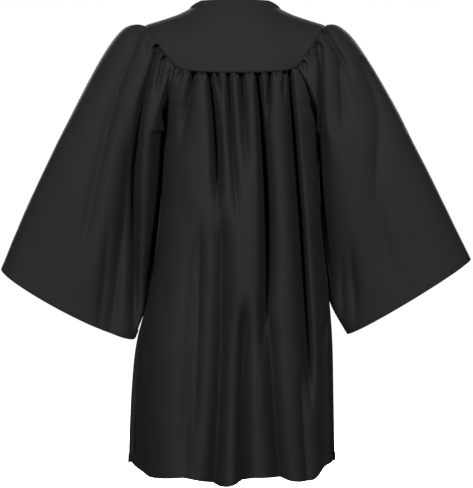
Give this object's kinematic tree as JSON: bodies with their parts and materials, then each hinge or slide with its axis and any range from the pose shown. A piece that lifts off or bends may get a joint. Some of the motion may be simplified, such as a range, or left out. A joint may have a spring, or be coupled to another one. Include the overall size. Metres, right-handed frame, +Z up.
{
  "type": "graduation gown",
  "caption": "Child's graduation gown filled out as worn: plain yokes, gathered front and back, bell sleeves with open cuffs, and a closed front zip with a swinging pull tab.",
  "frame": {"origin": "midway between the wearer's shoulders, on the line where the shoulder seams rest", "axes": "+Z up, the front of the gown faces -Y, the wearer's left is +X"},
  "size_m": [0.7436, 0.2548, 0.7481],
  "materials": {
    "cloth": "matte black polyester, plain weave",
    "tape": "black woven zip tape",
    "coil": "black nylon coil",
    "metal": "black painted zinc"
  },
  "bodies": {
    "gown": {"back_yoke": "cloth", "back_panel": "cloth", "front_yoke_left": "cloth", "front_yoke_right": "cloth", "front_panel_left": "cloth", "front_panel_right": "cloth", "sleeve_left": "cloth", "sleeve_right": "cloth", "zip_tape_left": "tape", "zip_tape_right": "tape", "zip_coil": "coil", "zip_bottom_stop": "metal", "zip_slider": "metal"},
    "zip_pull": {"zip_pull_tab": "metal"}
  },
  "joints": [
    {"name": "zip_pull_swing", "type": "hinge", "parent": "gown", "child": "zip_pull", "pos_m": [0, -0.0757, -0.056], "axis": [-1, 0, 0], "range_deg": [0, 150]}
  ]
}
